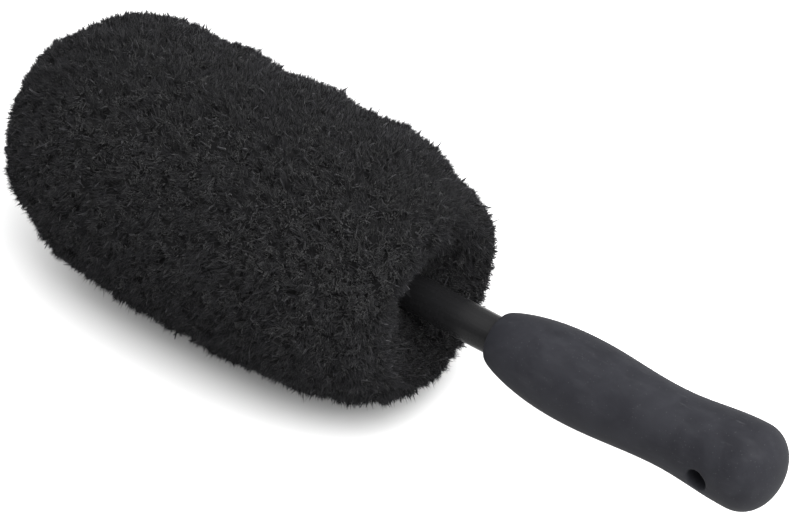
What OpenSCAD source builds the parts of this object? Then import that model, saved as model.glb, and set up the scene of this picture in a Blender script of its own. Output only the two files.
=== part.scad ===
// Wheel brush: a plush microfibre head on a glossy shaft with a soft-touch grip.
// The head's cover is a washable sock that pulls off forwards over a foam core.
//
// The brush lies along X with its tip at -X and its grip at +X, resting on the
// flat strip that its weight presses into the pile. Z = 0 is that strip, and
// X = 0 is the middle of the brush's length. Inside the modules, every place
// along the brush is a "station": its distance behind the tip of the pile.

/* [Head] */
// Diameter of the head over the pile
head_d = 104; // [84:1:126]
// Length of the head from the tip of the pile to the crown round the shaft
head_len = 198; // [160:1:240]
// Length of the pile, from its backing to its ends
pile_len = 15; // [10:0.5:18]
// Radius of the rounded shoulder at the grip end of the head
shoulder_round = 32; // [24:1:34]
// Radius of the roll of pile that turns in to the shaft
funnel_round = 12; // [8:0.5:14]
// Width of the flat strip that the pile is pressed to where the brush lies
rest_flat_w = 30; // [24:1:36]

/* [Cover] */
// Thickness of the knitted backing that the pile grows from
backing_t = 1.1; // [0.8:0.1:1.6]
// Gap all round between the cover and the lined foam core
slip_gap = 0.3; // [0.3:0.1:0.8]
// Thickness of the overlocked seams above the backing
seam_t = 1.2; // [0.8:0.1:2]
// Width of the overlocked seams
seam_w = 3; // [2:0.5:5]
// Diameter of the elastic cord in the neck hem
elastic_d = 1.6; // [1:0.1:2]
// How far the neck hem laps on to the neck panel
hem_lap = 1.6; // [1:0.1:3]

/* [Core] */
// Thickness of the nylon liner on the foam
liner_t = 0.6; // [0.4:0.1:1]
// Diameter of the disc that holds the foam on at the tip
tip_disc_d = 44; // [30:1:50]
// Thickness of the tip disc
tip_disc_t = 3; // [2:0.5:5]

/* [Shaft] */
// Outer diameter of the shaft tube
shaft_d = 14.6; // [12:0.1:16.4]
// Bore of the shaft tube
shaft_bore_d = 8.6; // [6:0.1:10]
// Length of shaft that shows between the head and the grip
shaft_show = 27; // [20:1:60]
// Length of the plug in the tip end of the shaft
plug_len = 24; // [20:1:40]

/* [Collar] */
// Diameter of the collar's flange behind the foam
flange_d = 48; // [36:1:60]
// Thickness of the flange
flange_t = 3; // [2:0.5:5]
// Thickness of the hub's wall round the shaft
hub_wall = 3.7; // [3:0.1:5]
// Depth of the groove that the neck hem sits in
groove_depth = 1.4; // [1:0.1:2.4]
// Length of hub between the flange and the groove
front_land = 6; // [5:0.5:10]
// Width of the groove
groove_w = 4.7; // [4:0.1:6]
// Length of hub behind the groove
rear_land = 2.8; // [2:0.1:3]
// Diameter of the pin that locks the collar to the shaft
collar_pin_d = 3; // [2:0.5:4]
// Thickness of pile over the end of the hub
hub_cover = 2.5; // [1:0.5:6]

/* [Grip] */
// Overall length of the grip
grip_len = 120; // [110:1:150]
// Thickness of rubber round the shaft at the grip's nose
nose_wall = 2.3; // [1.5:0.1:3]
// Diameter of the bulge behind the thumb
bulge_d = 32.6; // [30:0.2:38]
// Diameter of the waist
waist_d = 28.6; // [28:0.2:34]
// Diameter of the pommel
pommel_d = 32.8; // [30:0.2:38]
// How far the pommel stands off the shaft's line
pommel_offset = 1.5; // [0:0.5:5]
// How far the brush is rolled about its length as it lies
grip_roll = 6; // [0:1:30]
// Diameter of the hang hole
hang_hole_d = 8; // [6:0.5:10]
// Distance from the end of the grip to the middle of the hang hole
hang_hole_from_end = 23.5; // [20:0.5:28]
// Thickness of the rubber that lines the hang hole
hang_liner_t = 1.5; // [1:0.1:2]

/* [Grip core] */
// Thickness of the rigid core's wall round the shaft
core_wall = 4; // [3:0.1:4.6]
// Distance from the nose to the front of the core
core_inset = 5; // [3:0.5:8]
// Length of the taper at the front of the core
core_taper = 8; // [5:0.5:12]
// Thickness of rubber over the front edge of the core
front_rubber = 1.2; // [0.8:0.1:1.6]
// Depth of the socket that takes the shaft
socket_depth = 66; // [50:1:70]
// Thickness of the core's tail each side of the lined hang hole
tail_wall = 3; // [2.5:0.1:3.5]
// Width of the grooves that key the rubber to the core
key_w = 4; // [3:0.5:6]
// Depth of the key grooves
key_depth = 1; // [0.5:0.1:1.5]
// Number of key grooves
key_count = 4; // [2:1:5]
// Diameter of the pin that locks the shaft in the socket
socket_pin_d = 4; // [3:0.5:5]
// Distance from the front of the core to that pin
socket_pin_in = 17; // [12:1:20]

/* [Tip screw] */
// Diameter of the screw's thread
screw_d = 5; // [4:0.5:6]
// Diameter of the screw's head
screw_head_d = 9.4; // [8:0.2:11]
// Height of the screw's head
screw_head_t = 3; // [2.5:0.5:4]
// Length of thread in the plug
screw_len = 17; // [12:1:18]
// Clearance round the screw's shank in the disc, and round what the foam covers
loose = 0.3; // [0.2:0.1:0.5]

/* [Hidden] */
$fn = 96;

// Radii of the head's layers, from the outside in
head_r = head_d / 2;
backing_r = head_r - pile_len;
cavity_r = backing_r - backing_t;
liner_r = cavity_r - slip_gap;
foam_r = liner_r - liner_t;
shaft_r = shaft_d / 2;
hub_r = shaft_r + hub_wall;
groove_r = hub_r - groove_depth;
hem_inner_r = groove_r + slip_gap;
panel_inner_r = hub_r + slip_gap;
hem_outer_r = panel_inner_r + hem_lap;

// Stations along the head
dome_at = head_r;
crown_r = head_r - shoulder_round;
shoulder_at = head_len - shoulder_round;
funnel_at = head_len - funnel_round;
hub_end = funnel_at - hub_cover;
groove_end = hub_end - rear_land;
groove_at = groove_end - groove_w;
flange_end = groove_at - front_land;
foam_end = flange_end - flange_t;
collar_pin_at = (flange_end + groove_at) / 2;
hem_at = groove_at + slip_gap;
hem_end = groove_end - slip_gap;
// Gap between the shaft and the pile, and from the end of a pin to the face it sits under
pile_clear = 0.9;
pin_inset = 0.5;

// Stations along the grip
nose_at = head_len + shaft_show;
overall = nose_at + grip_len;
nose_d = shaft_d + 2 * nose_wall;
core_d = shaft_d + 2 * core_wall;
core_at = nose_at + core_inset;
socket_end = core_at + socket_depth;
socket_pin_at = core_at + socket_pin_in;
hang_hole_at = overall - hang_hole_from_end;
hang_liner_d = hang_hole_d + 2 * hang_liner_t;
tail_d = hang_liner_d + 2 * tail_wall;
tail_at = hang_hole_at - tail_d / 2;
tail_lift = pommel_offset * 0.75;
key_pitch = (socket_depth - key_w) / (key_count + 1);

// Places along the grip, measured from its nose
nose_len = 36;
pommel_from_end = 13;
pommel_in = grip_len - pommel_from_end;
// Share of the way from the end of the nose to the pommel at which the waist lies
waist_share = 0.545;
waist_in = nose_len + (pommel_in - nose_len) * waist_share;
bend_from = 54;
core_front_r = min(core_d / 2, nose_radius(core_inset) - front_rubber);
nose_steps = 10;
mid_steps = 16;
cap_steps = 8;
grip_sides = 36;

// Height of the shaft's line above the strip that the head rests on
axis_h = sqrt(head_r ^ 2 - (rest_flat_w / 2) ^ 2);
big = 400;

pile_colour = "#2b2b2d";
backing_colour = "#3a3a3d";
foam_colour = "#55565a";
liner_colour = "#232326";
shaft_colour = "#1b1b1d";
rubber_colour = "#3f4044";
core_colour = "#4a4a4a";
steel_colour = "#b4b6b8";

// ---- places and shapes that the sub-parts share ----

// Puts children that stand on Z, with their stations up it, along the brush
module along_brush() {
    translate([-overall / 2, 0, axis_h]) rotate([0, 90, 0]) children();
}

// Puts children drawn round the X axis from station 0 in place, rolled with the grip
module rolled() {
    translate([-overall / 2, 0, axis_h]) rotate([grip_roll, 0, 0]) children();
}

// Everything above the surface that the brush rests on
module above_rest() {
    translate([-big, -big / 2, 0]) cube([2 * big, big, big]);
}

// A ring from station a to station b, between two radii
module ring(a, b, inner, outer) {
    translate([0, 0, a]) difference() {
        cylinder(h = b - a, r = outer);
        translate([0, 0, -1]) cylinder(h = b - a + 2, r = inner);
    }
}

// The half of a ball that faces the tip
module tip_ball(r) {
    translate([0, 0, dome_at]) difference() {
        sphere(r = r);
        cylinder(h = 2 * r, r = 2 * r);
    }
}

// The same half of a hollow ball
module tip_shell(inner, outer) {
    difference() {
        tip_ball(outer);
        translate([0, 0, dome_at]) sphere(r = inner);
    }
}

// A pin or hole across the brush at a station, drawn round the X axis
module cross(at, d, length) {
    translate([at, 0, -length / 2]) cylinder(h = length, d = d);
}

// ---- grip ----

// Eases from 0 to 1
function ease(t) = (1 - cos(180 * max(0, min(1, t)))) / 2;

// Radius of the grip at a distance from its nose
function nose_radius(x) = nose_d / 2 + (bulge_d - nose_d) / 2 * sin(90 * (x / nose_len) ^ 0.75);
function front_radius(x) =
    bulge_d / 2 + (waist_d - bulge_d) / 2 * ease((x - nose_len) / (waist_in - nose_len));
function rear_radius(x) =
    waist_d / 2 + (pommel_d - waist_d) / 2 * ease((x - waist_in) / (pommel_in - waist_in));
function mid_radius(x) = x < waist_in ? front_radius(x) : rear_radius(x);

// How far the grip's middle stands off the shaft's line
function lift(x) = pommel_offset * ease((x - bend_from) / (pommel_in - bend_from));

// The grip's outline as [distance from the nose, radius]
grip_outline = concat(
    [for (i = [0:nose_steps - 1])
        let (x = nose_len * (i / nose_steps) ^ 1.5) [x, nose_radius(x)]],
    [for (i = [0:mid_steps])
        let (x = nose_len + (pommel_in - nose_len) * i / mid_steps) [x, mid_radius(x)]],
    [for (i = [1:cap_steps])
        let (a = 88 * i / cap_steps)
        [pommel_in + pommel_from_end * sin(a) / sin(88), pommel_d / 2 * cos(a)]]
);

// The grip's outside: rings of points on the bent middle line, closed at both ends
module grip_blank() {
    rings = len(grip_outline);
    points = [for (p = grip_outline, k = [0:grip_sides - 1])
        let (a = 360 * k / grip_sides) [p[0], p[1] * cos(a), p[1] * sin(a) + lift(p[0])]];
    sides = [for (i = [0:rings - 2], k = [0:grip_sides - 1])
        let (n = (k + 1) % grip_sides, a = i * grip_sides, b = a + grip_sides)
        each [[a + k, b + k, b + n], [a + k, b + n, a + n]]];
    nose = [for (k = [0:grip_sides - 1]) k];
    end = [for (k = [grip_sides - 1:-1:0]) (rings - 1) * grip_sides + k];
    translate([nose_at, 0, 0]) polyhedron(points, concat(sides, [nose, end]), convexity = 4);
}

// The core's outside: a grooved barrel round the socket, and a tail round the hang hole
module core_blank() {
    barrel_at = core_at + core_taper;
    rotate([0, 90, 0]) difference() {
        union() {
            translate([0, 0, core_at]) cylinder(h = core_taper, r1 = core_front_r, r2 = core_d / 2);
            translate([0, 0, barrel_at]) cylinder(h = tail_at + 2 - barrel_at, d = core_d);
        }
        for (i = [1:key_count])
            ring(core_at + i * key_pitch, core_at + i * key_pitch + key_w,
                core_d / 2 - key_depth, core_d);
    }
    translate([tail_at, 0, tail_lift]) rotate([0, 90, 0]) cylinder(h = tail_d, d = tail_d);
}

// The hang hole's own line, through the middle of the grip
module hang_bore(d) {
    translate([hang_hole_at, 0, lift(hang_hole_at - nose_at)])
        rotate([90, 0, 0]) cylinder(h = 2 * pommel_d, d = d, center = true);
}

module handle_core() {
    color(core_colour) rolled() difference() {
        core_blank();
        rotate([0, 90, 0]) translate([0, 0, core_at - 1])
            cylinder(h = socket_depth + 1, d = shaft_d);
        cross(socket_pin_at, socket_pin_d, 2 * core_d);
        hang_bore(hang_liner_d);
    }
}

module grip_sleeve() {
    color(rubber_colour) rolled() difference() {
        grip_blank();
        difference() {
            core_blank();
            hang_bore(hang_liner_d);
        }
        rotate([0, 90, 0]) translate([0, 0, nose_at - 1])
            cylinder(h = core_inset + 2, d = shaft_d);
        hang_bore(hang_hole_d);
    }
}

module socket_pin() {
    color(steel_colour) rolled()
        cross(socket_pin_at, socket_pin_d, core_d - 2 * (key_depth + pin_inset));
}

// ---- shaft, and what holds the foam on it ----

module shaft_tube() {
    color(shaft_colour) rolled() difference() {
        rotate([0, 90, 0]) ring(dome_at, socket_end, shaft_bore_d / 2, shaft_r);
        cross(socket_pin_at, socket_pin_d, 2 * shaft_d);
        cross(collar_pin_at, collar_pin_d, 2 * shaft_d);
    }
}

module tip_plug() {
    color(core_colour) along_brush()
        difference() {
            translate([0, 0, dome_at]) cylinder(h = plug_len, d = shaft_bore_d);
            translate([0, 0, dome_at - 1]) cylinder(h = screw_len + 1, d = screw_d);
        }
}

module tip_disc() {
    color(core_colour) along_brush()
        ring(dome_at - tip_disc_t, dome_at, screw_d / 2 + loose, tip_disc_d / 2);
}

module tip_screw() {
    head_at = dome_at - tip_disc_t - screw_head_t;
    driver_d = screw_head_d * 0.5;
    color(steel_colour) along_brush() difference() {
        union() {
            translate([0, 0, head_at]) cylinder(h = screw_head_t, d = screw_head_d);
            translate([0, 0, head_at]) cylinder(h = screw_head_t + tip_disc_t + screw_len, d = screw_d);
        }
        translate([0, 0, head_at - 1]) cylinder(h = 1 + screw_head_t / 2, d = driver_d, $fn = 6);
    }
}

// The half ball of foam over the disc and its screw
module tip_cushion() {
    color(foam_colour) along_brush() difference() {
        tip_ball(foam_r);
        translate([0, 0, dome_at - tip_disc_t - loose])
            cylinder(h = tip_disc_t + 1, d = tip_disc_d + 2 * loose);
        translate([0, 0, dome_at - tip_disc_t - screw_head_t - 2 * loose])
            cylinder(h = tip_disc_t + screw_head_t, d = screw_head_d + 2 * loose);
    }
}

module foam_core() {
    color(foam_colour) along_brush() ring(dome_at, foam_end, shaft_r, foam_r);
}

module foam_liner() {
    color(liner_colour) along_brush() {
        tip_shell(foam_r, liner_r);
        ring(dome_at, foam_end, foam_r, liner_r);
    }
}

// Flange, hub and the groove that the cover's neck snaps into
module neck_collar() {
    color(core_colour) rolled() difference() {
        rotate([0, 90, 0]) union() {
            ring(foam_end, flange_end, shaft_r, flange_d / 2);
            ring(flange_end, groove_at, shaft_r, hub_r);
            ring(groove_at, groove_end, shaft_r, groove_r);
            ring(groove_end, hub_end, shaft_r, hub_r);
        }
        cross(collar_pin_at, collar_pin_d, 4 * hub_r);
    }
}

module collar_pin() {
    color(steel_colour) rolled() cross(collar_pin_at, collar_pin_d, 2 * (hub_r - pin_inset));
}

// ---- the cover's backing and seams ----

module tip_backing() {
    color(backing_colour) along_brush() tip_shell(cavity_r, backing_r);
}

module cover_backing() {
    color(backing_colour) along_brush() ring(dome_at, hem_at, cavity_r, backing_r);
}

// The gathered panel that closes the cover behind the foam
module neck_backing() {
    color(backing_colour) along_brush()
        ring(hem_at - backing_t, hem_at, panel_inner_r, cavity_r);
}

module tip_seam() {
    color(backing_colour) along_brush()
        ring(dome_at, dome_at + seam_w, backing_r, backing_r + seam_t);
}

// A strip along the underside of the sleeve, from a radius out to the seam's back
module underside_strip(inner) {
    intersection() {
        ring(dome_at + seam_w, hem_at, inner, backing_r + seam_t);
        translate([0, -seam_w / 2, 0]) cube([head_d, seam_w, head_len]);
    }
}

// The lengthwise seam
module side_seam() {
    color(backing_colour) along_brush() underside_strip(backing_r);
}

module neck_seam() {
    color(backing_colour) along_brush()
        ring(hem_at, hem_at + seam_t, backing_r - seam_w, backing_r);
}

// Place of the elastic in the middle of the hem
module elastic_ring() {
    translate([0, 0, (hem_at + hem_end) / 2]) rotate_extrude()
        translate([(hem_inner_r + hem_outer_r) / 2, 0]) circle(d = elastic_d, $fn = 32);
}

module neck_hem() {
    color(backing_colour) along_brush() difference() {
        ring(hem_at, hem_end, hem_inner_r, hem_outer_r);
        elastic_ring();
    }
}

module neck_elastic() {
    color("white") along_brush() elastic_ring();
}

// ---- pile ----

module pile_tip() {
    color(pile_colour) intersection() {
        along_brush() tip_shell(backing_r, head_r);
        above_rest();
    }
}

// Half of the sleeve's section: a straight side and the rounded shoulder
module pile_section() {
    translate([0, dome_at]) square([head_r, shoulder_at - dome_at]);
    translate([0, shoulder_at - 1]) square([crown_r, shoulder_round + 1]);
    intersection() {
        translate([crown_r, shoulder_at]) circle(r = shoulder_round);
        translate([crown_r - 1, shoulder_at]) square([head_d, shoulder_round]);
    }
}

module pile_sleeve() {
    color(pile_colour) intersection() {
        along_brush() difference() {
            rotate_extrude() difference() {
                pile_section();
                square([backing_r, head_len + 1]);
            }
            ring(dome_at, dome_at + seam_w, backing_r - 1, backing_r + seam_t);
            underside_strip(backing_r - 1);
        }
        above_rest();
    }
}

// The pile that turns in round the shaft: a roll outside the hem
module pile_neck() {
    color(pile_colour) along_brush() rotate_extrude() difference() {
        intersection() {
            pile_section();
            square([backing_r, head_len]);
        }
        // everything behind the neck panel, the hem, the hub and the neck seam
        square([backing_r + 1, hem_at]);
        square([hem_outer_r, hub_end + loose]);
        translate([backing_r - seam_w, hem_at - 1]) square([seam_w + 1, seam_t + 1]);
        // the shaft, and the funnel rolled in to it
        square([shaft_r + pile_clear, head_len + 1]);
        difference() {
            translate([0, funnel_at]) square([crown_r, funnel_round + 1]);
            translate([crown_r, funnel_at]) circle(r = funnel_round);
        }
    }
}

grip_sleeve();
handle_core();
socket_pin();
shaft_tube();
tip_plug();
tip_screw();
tip_disc();
tip_cushion();
foam_core();
foam_liner();
neck_collar();
collar_pin();
tip_backing();
cover_backing();
neck_backing();
tip_seam();
side_seam();
neck_seam();
neck_hem();
neck_elastic();
pile_tip();
pile_sleeve();
pile_neck();
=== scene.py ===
"""Looks of the wheel brush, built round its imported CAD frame. Lengths are in metres."""
import math

import bmesh
import bpy
import numpy as np
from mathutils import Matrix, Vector


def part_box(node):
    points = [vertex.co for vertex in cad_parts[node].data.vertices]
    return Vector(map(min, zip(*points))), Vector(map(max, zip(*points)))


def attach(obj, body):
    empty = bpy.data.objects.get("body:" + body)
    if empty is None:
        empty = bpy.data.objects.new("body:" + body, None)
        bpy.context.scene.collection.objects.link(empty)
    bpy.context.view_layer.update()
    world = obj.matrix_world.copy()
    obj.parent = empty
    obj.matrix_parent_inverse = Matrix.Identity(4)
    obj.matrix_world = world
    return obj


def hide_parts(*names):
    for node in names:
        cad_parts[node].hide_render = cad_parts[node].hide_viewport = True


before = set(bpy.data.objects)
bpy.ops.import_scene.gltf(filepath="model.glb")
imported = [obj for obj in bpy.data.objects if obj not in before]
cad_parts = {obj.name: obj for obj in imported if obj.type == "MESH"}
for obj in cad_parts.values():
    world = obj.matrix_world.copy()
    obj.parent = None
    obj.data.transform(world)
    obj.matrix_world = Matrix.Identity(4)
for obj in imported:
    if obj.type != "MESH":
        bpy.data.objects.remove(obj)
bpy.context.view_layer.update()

MM = 0.001

# ---- places and sizes that come from the frame ----

tip_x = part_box("pile_tip")[0].x
crown_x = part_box("pile_neck")[1].x
axis_z = (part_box("tip_backing")[0].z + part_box("tip_backing")[1].z) / 2
head_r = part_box("pile_tip")[1].y
backing_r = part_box("tip_backing")[1].y
liner_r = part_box("foam_liner")[1].y
foam_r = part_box("foam_core")[1].y
foam_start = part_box("foam_core")[0].x
foam_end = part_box("foam_core")[1].x
panel_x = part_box("neck_backing")[1].x
panel_t = panel_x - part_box("neck_backing")[0].x
hem_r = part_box("neck_hem")[1].y
hem_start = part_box("neck_hem")[0].x
hem_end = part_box("neck_hem")[1].x
shaft_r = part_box("shaft_tube")[1].y
nose_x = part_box("grip_sleeve")[0].x
butt_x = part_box("grip_sleeve")[1].x
dome_x = tip_x + head_r

# ---- noise and curves ----


def lumps(points, size, seed):
    """Smooth noise from -1 to 1 at each point, with lumps about size across."""
    cells = 32
    table = np.random.default_rng(seed).uniform(-1, 1, (cells, cells, cells))
    place = points / size
    corner = np.floor(place).astype(int)
    part = place - corner
    part = part * part * (3 - 2 * part)
    total = 0
    for dx in (0, 1):
        for dy in (0, 1):
            for dz in (0, 1):
                weight = (
                    np.abs(1 - dx - part[:, 0])
                    * np.abs(1 - dy - part[:, 1])
                    * np.abs(1 - dz - part[:, 2])
                )
                i, j, k = ((corner + (dx, dy, dz)) % cells).T
                total = total + weight * table[i, j, k]
    return total


def ease(t):
    """Eases from 0 to 1."""
    return (1 - np.cos(np.pi * np.clip(t, 0, 1))) / 2


def superellipse(x, fullness):
    """Height of a quarter of a superellipse at x from 0, its full height, to 1."""
    return (1 - x ** fullness) ** (1 / fullness)


def unit(vectors):
    """The same directions, each of length 1."""
    return vectors / np.maximum(np.linalg.norm(vectors, axis=1, keepdims=True), 1e-12)


class Outline:
    """A line in the half plane beside the brush's axis, as (x, radius), that knows its normals."""

    def __init__(self, points):
        self.points = np.array(points, float)
        steps = np.linalg.norm(np.diff(self.points, axis=0), axis=1)
        self.at = np.concatenate([[0], np.cumsum(steps)])
        self.length = self.at[-1]
        slopes = np.gradient(self.points, self.at, axis=0)
        self.normals = unit(np.stack([-slopes[:, 1], slopes[:, 0]], axis=1))

    def place(self, s):
        return np.stack([np.interp(s, self.at, self.points[:, k]) for k in (0, 1)], axis=1)

    def normal(self, s):
        return unit(np.stack([np.interp(s, self.at, self.normals[:, k]) for k in (0, 1)], axis=1))


def full_turn(count):
    """That many angles, evenly spaced round a full turn."""
    return np.arange(count) * 2 * np.pi / count


def turned(flat, angle):
    """Points or directions of the half plane, turned about the brush's axis."""
    return np.stack([flat[:, 0], flat[:, 1] * np.cos(angle), flat[:, 1] * np.sin(angle)], axis=1)


# ---- meshes ----


def mesh_from_arrays(name, points, faces, smooth=True):
    """A mesh object from arrays of points and of faces that all have the same number of corners."""
    mesh = bpy.data.meshes.new(name)
    sides = faces.shape[1]
    mesh.vertices.add(len(points))
    mesh.vertices.foreach_set("co", points.astype(np.float32).ravel())
    mesh.loops.add(faces.size)
    mesh.loops.foreach_set("vertex_index", faces.astype(np.int32).ravel())
    mesh.polygons.add(len(faces))
    mesh.polygons.foreach_set("loop_start", np.arange(0, faces.size, sides, dtype=np.int32))
    mesh.polygons.foreach_set("use_smooth", np.full(len(faces), smooth))
    mesh.update(calc_edges=True)
    mesh.validate()
    obj = bpy.data.objects.new(name, mesh)
    bpy.context.scene.collection.objects.link(obj)
    return obj


def grid_faces(rings, sides, closed):
    """Faces of a grid of rings, each joined to the next, and the last to the first where it is closed."""
    ring, side = np.meshgrid(np.arange(rings if closed else rings - 1), np.arange(sides), indexing="ij")
    ring, side = ring.ravel(), side.ravel()
    beside, ahead = (side + 1) % sides, (ring + 1) % rings
    return np.stack([ring * sides + side, ring * sides + beside,
                     ahead * sides + beside, ahead * sides + side], axis=1)


def close_up(obj):
    """Closes the open ends of a mesh, and turns its faces outwards."""
    made = bmesh.new()
    made.from_mesh(obj.data)
    bmesh.ops.holes_fill(made, edges=made.edges, sides=0)
    bmesh.ops.recalc_face_normals(made, faces=made.faces)
    made.to_mesh(obj.data)
    made.free()
    return obj


def read_points(obj):
    """The places of a mesh's points."""
    points = np.empty(len(obj.data.vertices) * 3, np.float32)
    obj.data.vertices.foreach_get("co", points)
    return points.reshape(-1, 3).astype(float)


def write_points(obj, points):
    """Moves a mesh's points."""
    obj.data.vertices.foreach_set("co", points.astype(np.float32).ravel())
    obj.data.update()


def read_whole(rows, name):
    """One whole number from each row of a mesh's loops or polygons."""
    values = np.empty(len(rows), np.int32)
    rows.foreach_get(name, values)
    return values


def add_values(obj, name, values, domain="POINT"):
    """Gives a mesh one value for each point, or for each corner."""
    layer = obj.data.attributes.new(name, "FLOAT", domain)
    layer.data.foreach_set("value", values.astype(np.float32))


def shade_smooth(mesh):
    mesh.polygons.foreach_set("use_smooth", np.ones(len(mesh.polygons), bool))


def revolved(name, section, sides, relief=None, closed=True):
    """A section of (x, radius) points turned about the brush's axis, with an optional relief."""
    section = np.array(section, float)
    angle = np.tile(full_turn(sides), len(section))
    points = turned(np.repeat(section, sides, axis=0), angle)
    if relief:
        points = relief(points, angle)
    points[:, 2] += axis_z
    obj = mesh_from_arrays(name, points, grid_faces(len(section), sides, closed))
    return close_up(obj)


def keep(obj, body, slot, material, *nodes):
    """Gives a finished piece its material and its body, and hides the CAD nodes that it stands for; the slot
    is not used.
    """
    obj.data.materials.clear()
    obj.data.materials.append(material)
    if nodes:
        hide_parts(*nodes)
    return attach(obj, body)


def with_modifier(obj, kind, **settings):
    """Applies one modifier to a mesh."""
    modifier = obj.modifiers.new(kind.lower(), kind)
    for key, value in settings.items():
        setattr(modifier, key, value)
    graph = bpy.context.evaluated_depsgraph_get()
    mesh = bpy.data.meshes.new_from_object(obj.evaluated_get(graph))
    obj.modifiers.clear()
    obj.data = mesh
    return obj


def cut(obj, tool):
    """Takes a closed mesh out of another, and discards it."""
    with_modifier(obj, "BOOLEAN", operation="DIFFERENCE", solver="EXACT", object=tool)
    bpy.data.objects.remove(tool)


# ---- materials ----


class Finish:
    """A material that is put together from a few procedural nodes."""

    def __init__(self, name, roughness, **constants):
        self.material = bpy.data.materials.new(name)
        self.material.use_nodes = True
        self.tree = self.material.node_tree
        self.shader = self.tree.nodes["Principled BSDF"]
        self.shader.inputs["Roughness"].default_value = roughness
        for socket, value in constants.items():
            self.shader.inputs[socket.replace("_", " ")].default_value = value
        self.height = None

    def node(self, kind, **settings):
        made = self.tree.nodes.new(kind)
        for key, value in settings.items():
            setattr(made, key, value)
        return made

    def link(self, source, target):
        self.tree.links.new(source, target)

    def coordinates(self, stretch=(1, 1, 1)):
        place = self.node("ShaderNodeTexCoord").outputs["Object"]
        if stretch == (1, 1, 1):
            return place
        mapping = self.node("ShaderNodeMapping")
        mapping.inputs["Scale"].default_value = stretch
        self.link(place, mapping.inputs["Vector"])
        return mapping.outputs["Vector"]

    def noise(self, size, detail=3.0, roughness=0.5, stretch=(1, 1, 1), distortion=0.0):
        """Noise with features about size across."""
        made = self.node("ShaderNodeTexNoise")
        made.inputs["Scale"].default_value = 1 / size
        made.inputs["Detail"].default_value = detail
        made.inputs["Roughness"].default_value = roughness
        made.inputs["Distortion"].default_value = distortion
        self.link(self.coordinates(stretch), made.inputs["Vector"])
        return made.outputs["Fac"]

    def cells(self, size, feature="F1", stretch=(1, 1, 1)):
        made = self.node("ShaderNodeTexVoronoi", feature=feature)
        made.inputs["Scale"].default_value = 1 / size
        self.link(self.coordinates(stretch), made.inputs["Vector"])
        return made.outputs["Distance"]

    def attribute(self, name):
        return self.node("ShaderNodeAttribute", attribute_name=name).outputs["Fac"]

    def scaled(self, value, low, high, to_low=0.0, to_high=1.0):
        """The value stretched from low..high to to_low..to_high, and held there."""
        made = self.node("ShaderNodeMapRange")
        made.clamp = True
        for socket, number in zip(("From Min", "From Max", "To Min", "To Max"), (low, high, to_low, to_high)):
            made.inputs[socket].default_value = number
        self.link(value, made.inputs["Value"])
        return made.outputs["Result"]

    def maths(self, operation, a, b):
        made = self.node("ShaderNodeMath", operation=operation)
        for socket, value in zip(made.inputs, (a, b)):
            if isinstance(value, (int, float)):
                socket.default_value = value
            else:
                self.link(value, socket)
        return made.outputs["Value"]

    def wave(self, value, rate):
        """A sine wave along the value."""
        return self.maths("SINE", self.maths("MULTIPLY", value, rate), 0)

    def ramp(self, value, *stops):
        """A colour for each value, from (place, colour) stops."""
        made = self.node("ShaderNodeValToRGB")
        elements = made.color_ramp.elements
        for element, (place, colour) in zip(elements, (stops[0], stops[-1])):
            element.position, element.color = place, (*colour, 1)
        for place, colour in stops[1:-1]:
            elements.new(place).color = (*colour, 1)
        self.link(value, made.inputs["Fac"])
        return made.outputs["Color"]

    def blend(self, share, a, b, kind="MIX"):
        made = self.node("ShaderNodeMix", data_type="RGBA", blend_type=kind)
        for socket, value in ((made.inputs[0], share), (made.inputs[6], a), (made.inputs[7], b)):
            if isinstance(value, (int, float)):
                socket.default_value = value
            elif isinstance(value, tuple):
                socket.default_value = (*value, 1)
            else:
                self.link(value, socket)
        return made.outputs[2]

    def colour(self, value):
        self.link(value, self.shader.inputs["Base Color"])

    def roughness(self, value):
        self.link(value, self.shader.inputs["Roughness"])

    def bump(self, value, depth, strength=1.0):
        """Adds a bump of that depth to those already there."""
        made = self.node("ShaderNodeBump")
        made.inputs["Strength"].default_value = strength
        made.inputs["Distance"].default_value = depth
        self.link(value, made.inputs["Height"])
        if self.height:
            self.link(self.height, made.inputs["Normal"])
        self.height = made.outputs["Normal"]
        self.link(self.height, self.shader.inputs["Normal"])


def soft_touch_rubber():
    """Matt charcoal rubber with the cloudy marks, hairline scuffs and dust of handling."""
    f = Finish("soft_touch_rubber", 0.68, Specular_IOR_Level=0.07)
    clouds = f.noise(15 * MM, 4, 0.6, distortion=0.7)
    smears = f.noise(5 * MM, 3, 0.6, stretch=(0.35, 1, 1))
    base = f.ramp(clouds, (0.30, (0.0082, 0.0084, 0.0106)), (0.70, (0.0146, 0.0150, 0.0180)))
    base = f.blend(f.scaled(smears, 0.52, 0.75, 0, 0.45), base, (0.0195, 0.0200, 0.0230))
    scuffs = f.noise(1.1 * MM, 2, 0.5, stretch=(0.12, 1, 1), distortion=0.8)
    base = f.blend(f.scaled(scuffs, 0.68, 0.78, 0, 0.35), base, (0.034, 0.035, 0.038))
    specks = f.cells(1.7 * MM)
    f.colour(f.blend(f.scaled(specks, 0.08, 0.14, 0.5, 0), base, (0.036, 0.037, 0.039)))
    f.roughness(f.scaled(clouds, 0.3, 0.7, 0.62, 0.76))
    f.bump(f.noise(0.35 * MM, 2, 0.6), 0.03 * MM, 0.5)
    f.bump(f.noise(6 * MM, 3, 0.5), 0.12 * MM, 0.4)
    return f.material


def shaft_plastic():
    """Glossy black acetal with fine lengthwise polishing lines."""
    f = Finish("shaft_plastic", 0.26, Specular_IOR_Level=0.08)
    lines = f.noise(0.8 * MM, 3, 0.5, stretch=(0.04, 1, 1))
    f.colour(f.ramp(lines, (0.3, (0.0052, 0.0052, 0.0055)), (0.8, (0.0072, 0.0072, 0.0077))))
    f.roughness(f.scaled(f.noise(3 * MM, 3, 0.6), 0.3, 0.75, 0.22, 0.32))
    f.bump(lines, 0.01 * MM, 0.35)
    return f.material


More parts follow.
